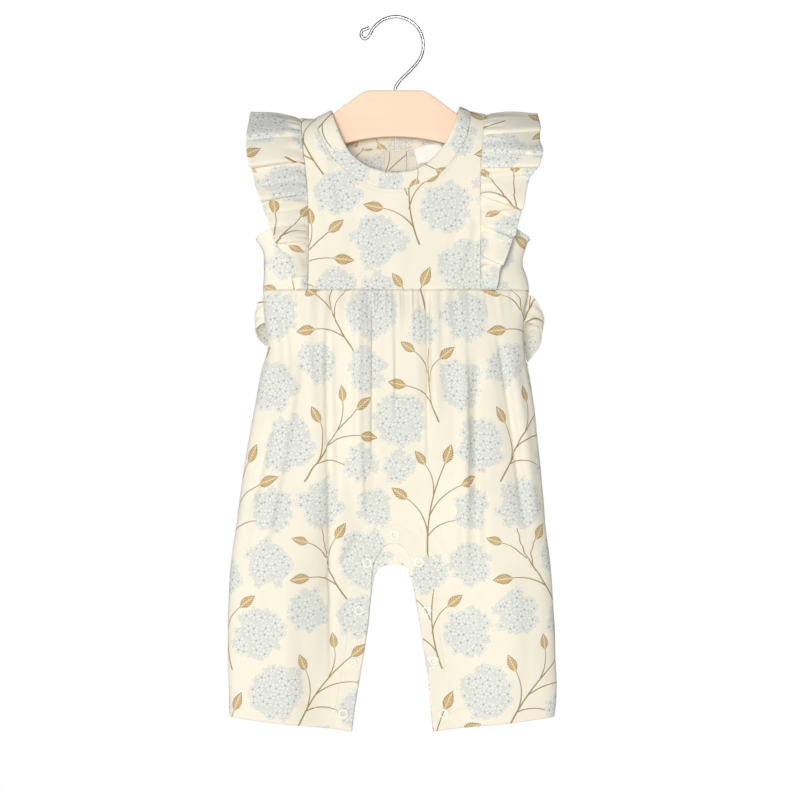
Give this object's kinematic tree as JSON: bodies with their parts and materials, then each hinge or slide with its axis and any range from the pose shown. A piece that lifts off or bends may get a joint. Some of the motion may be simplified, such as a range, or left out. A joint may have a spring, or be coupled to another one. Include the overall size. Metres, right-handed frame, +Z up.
{
  "type": "baby romper on hanger",
  "caption": "Sleeveless baby romper with shoulder ruffles, gathered waist, waist ties and snap inseams, hung open and nearly flat on a short hanger by its wire hook.",
  "frame": {"origin": "inner side of the crown of the hanger's hook, where a rail or peg holds it", "axes": "+Z up, +X to the wearer's left, the front of the romper faces -Y"},
  "size_m": [0.2875, 0.0733, 0.6269],
  "materials": {
    "cloth": "smooth matt cotton jersey printed with pale flower heads and golden brown sprigs",
    "label": "plain woven tape, bare",
    "snaps": "cream enamel, slight gloss",
    "board": "pale peach, smooth and matt",
    "wire": "polished"
  },
  "bodies": {
    "root": {"hanger_board": "board", "hanger_hook": "wire", "front_bodice": "cloth", "side_front_left": "cloth", "side_front_right": "cloth", "back_bodice_left": "cloth", "back_bodice_right": "cloth", "back_placket": "cloth", "side_back_left": "cloth", "side_back_right": "cloth", "neckband": "cloth", "neck_label": "label", "ruffle_left": "cloth", "ruffle_right": "cloth", "legs_front": "cloth", "legs_back": "cloth", "tie_left": "cloth", "tie_right": "cloth", "tie_knot": "cloth", "tie_tail_left": "cloth", "tie_tail_right": "cloth", "snap_crotch": "snaps", "snap_left_1": "snaps", "snap_left_2": "snaps", "snap_left_3": "snaps", "snap_left_4": "snaps", "snap_right_1": "snaps", "snap_right_2": "snaps", "snap_right_3": "snaps", "snap_right_4": "snaps", "snap_back_1": "snaps", "snap_back_2": "snaps", "snap_back_3": "snaps"}
  },
  "joints": []
}
